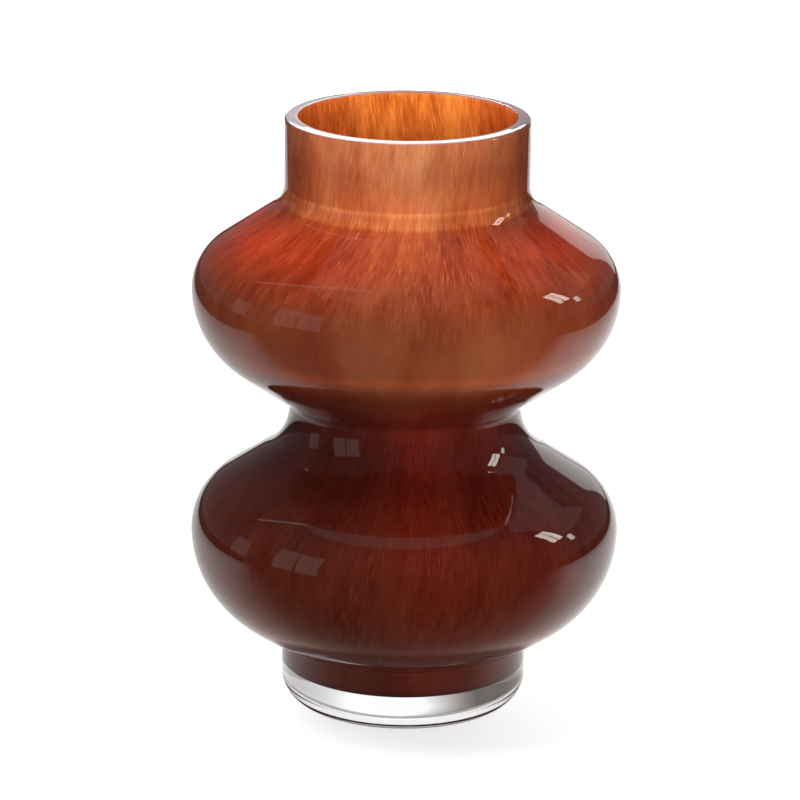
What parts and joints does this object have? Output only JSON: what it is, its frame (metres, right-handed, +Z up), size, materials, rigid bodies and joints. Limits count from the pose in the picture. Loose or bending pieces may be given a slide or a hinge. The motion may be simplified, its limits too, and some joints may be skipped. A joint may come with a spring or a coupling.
{
  "type": "gourd vase",
  "caption": "Double gourd vase in cased glass: short straight neck, round bulbs with a narrow waist, coloured lining and a thick clear foot.",
  "frame": {"origin": "centre of the ring that the vase stands on", "axes": "+Z up along the vase's axis, towards the mouth; the vase is round, so +X and +Y are free"},
  "size_m": [0.178, 0.178, 0.25],
  "materials": {
    "clear_glass": "polished",
    "coloured_glass": "streaked"
  },
  "bodies": {
    "root": {"outer_casing": "clear_glass", "colour_lining": "coloured_glass", "foot": "clear_glass"}
  },
  "joints": []
}
